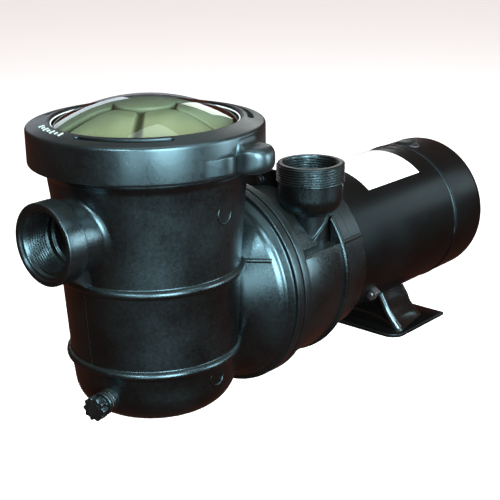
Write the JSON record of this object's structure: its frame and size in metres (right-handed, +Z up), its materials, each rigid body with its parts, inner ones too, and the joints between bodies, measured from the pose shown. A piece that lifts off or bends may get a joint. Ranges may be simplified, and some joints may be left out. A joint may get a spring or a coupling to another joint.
{
  "type": "pool_pump",
  "caption": "above-ground pool pump: black strainer pot with clear domed lid and lock ring, volute with top discharge, horizontal motor on a foot",
  "frame": {"origin": "middle of the bounding box's base, on the floor under the foot", "axes": "+X runs from the suction port to the rear of the motor, +Z is up"},
  "size_m": [0.5236, 0.2284, 0.28],
  "materials": {
    "wet_end_plastic": "black moulded plastic, fine satin grain",
    "ring_plastic": "black moulded plastic, slightly coarser grain",
    "lid_clear": "clear moulded plastic",
    "rubber": "black rubber",
    "basket_cream": "cream moulded plastic",
    "plug_plastic": "black moulded plastic",
    "inner_plastic": "black moulded plastic",
    "adapter_plastic": "black moulded plastic, satin",
    "seal_ceramic": "white ceramic",
    "motor_paint": "black gloss enamel on steel",
    "foot_paint": "black gloss, smooth",
    "label_white": "white film label, blank",
    "stainless": "stainless steel",
    "bracket_aluminium": "cast aluminium",
    "lamination": "stacked electrical steel",
    "copper_wire": "varnished copper wire",
    "phenolic": "brown phenolic board"
  },
  "bodies": {
    "root": {"strainer_housing": "wet_end_plastic", "volute_housing": "wet_end_plastic", "casing_seal": "rubber", "seal_plate_o_ring": "rubber", "cord_grommet": "rubber", "diffuser": "inner_plastic", "seal_plate": "inner_plastic", "start_capacitor": "inner_plastic", "motor_adapter": "adapter_plastic", "shaft_seal_seat": "seal_ceramic", "motor_shell": "motor_paint", "rear_cover": "motor_paint", "motor_foot": "foot_paint", "rating_label": "label_white", "front_bearing": "stainless", "rear_bearing": "stainless", "casing_screw_1": "stainless", "casing_screw_2": "stainless", "casing_screw_3": "stainless", "casing_screw_4": "stainless", "casing_screw_5": "stainless", "casing_screw_6": "stainless", "adapter_bolt_1": "stainless", "adapter_bolt_2": "stainless", "adapter_bolt_3": "stainless", "adapter_bolt_4": "stainless", "through_bolt_1": "stainless", "through_bolt_2": "stainless", "through_bolt_3": "stainless", "through_bolt_4": "stainless", "cover_screw_1": "stainless", "cover_screw_2": "stainless", "foot_bolt_1": "stainless", "foot_bolt_2": "stainless", "bonding_lug": "stainless", "front_end_bracket": "bracket_aluminium", "rear_end_bracket": "bracket_aluminium", "stator_core": "lamination", "front_winding": "copper_wire", "rear_winding": "copper_wire", "terminal_board": "phenolic"},
    "rotor": {"motor_shaft": "stainless", "rotor_core": "lamination", "impeller": "inner_plastic", "shaft_seal_rotor": "stainless", "cooling_fan": "inner_plastic", "start_switch_rotor": "phenolic"},
    "lid": {"strainer_lid": "lid_clear", "lid_o_ring": "rubber"},
    "ring": {"lock_ring": "ring_plastic"},
    "basket": {"strainer_basket": "basket_cream", "basket_cover": "basket_cream"},
    "drain_seal": {"drain_o_ring": "rubber"},
    "drain": {"drain_plug": "plug_plastic"}
  },
  "joints": [
    {"name": "rotor_spin", "type": "hinge", "parent": "root", "child": "rotor", "pos_m": [0, 0, 0.102], "axis": [1, 0, 0], "continuous": true},
    {"name": "lid_lift", "type": "slide", "parent": "root", "child": "lid", "axis": [0, 0, 1], "range_m": [0, 0.25]},
    {"name": "ring_turn", "type": "hinge", "parent": "lid", "child": "ring", "pos_m": [-0.15115, 0, 0.245], "axis": [0, 0, 1], "range_deg": [-5, 90]},
    {"name": "basket_lift", "type": "slide", "parent": "root", "child": "basket", "axis": [0, 0, 1], "range_m": [0, 0.155]},
    {"name": "drain_travel", "type": "slide", "parent": "root", "child": "drain_seal", "axis": [-0.9744, -0.225, 0], "range_m": [0, 0.02]},
    {"name": "drain_turn", "type": "hinge", "parent": "drain_seal", "child": "drain", "pos_m": [-0.2291, -0.018, 0.047], "axis": [-0.9744, -0.225, 0], "range_deg": [-1, 3610]}
  ],
  "couplings": [
    {"joint": "basket_lift", "follows": "lid_lift", "ratio": 0.6},
    {"joint": "drain_turn", "follows": "drain_travel", "rad_per_m": 3141.6}
  ]
}
